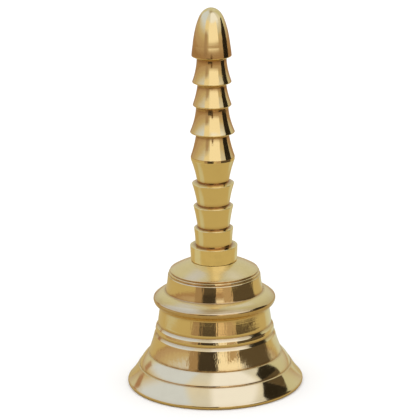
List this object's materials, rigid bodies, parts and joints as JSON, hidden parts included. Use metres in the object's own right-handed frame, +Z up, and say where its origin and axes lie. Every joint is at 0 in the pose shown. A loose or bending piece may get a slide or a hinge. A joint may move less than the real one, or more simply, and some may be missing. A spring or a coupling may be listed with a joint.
{
  "type": "temple hand bell",
  "caption": "Turned brass hand bell with a flared, ringed body on a stepped turned handle, and a clapper hung inside on a link.",
  "frame": {"origin": "centre of the mouth, in the plane of the rim that the bell stands on", "axes": "+Z up along the axis of the bell and the handle; +X along the rest position of the clapper's swing axis"},
  "size_m": [0.0698, 0.0698, 0.1515],
  "materials": {
    "bell_brass": "lathe-turned and polished, fine turning lines, satin inside",
    "handle_brass": "lathe-turned and polished",
    "fastener_brass": "machined, slightly dulled",
    "clapper_brass": "turned, satin, worn where it strikes",
    "wire_steel": "drawn wire, dull"
  },
  "bodies": {
    "bell": {"bell_body": "bell_brass", "handle": "handle_brass", "hanger_bolt": "fastener_brass", "crown_washer": "fastener_brass", "crown_nut": "fastener_brass"},
    "link": {"clapper_link": "wire_steel"},
    "clapper": {"clapper_rod": "wire_steel", "clapper_ball": "clapper_brass", "clapper_end_nut": "fastener_brass"}
  },
  "joints": [
    {"name": "link_turn", "type": "hinge", "parent": "bell", "child": "link", "pos_m": [0, 0, 0.0339], "axis": [0, 0, 1], "range_deg": [-40, 40]},
    {"name": "clapper_swing", "type": "hinge", "parent": "link", "child": "clapper", "pos_m": [0, 0, 0.0303], "axis": [1, 0, 0], "range_deg": [-47, 47]}
  ]
}
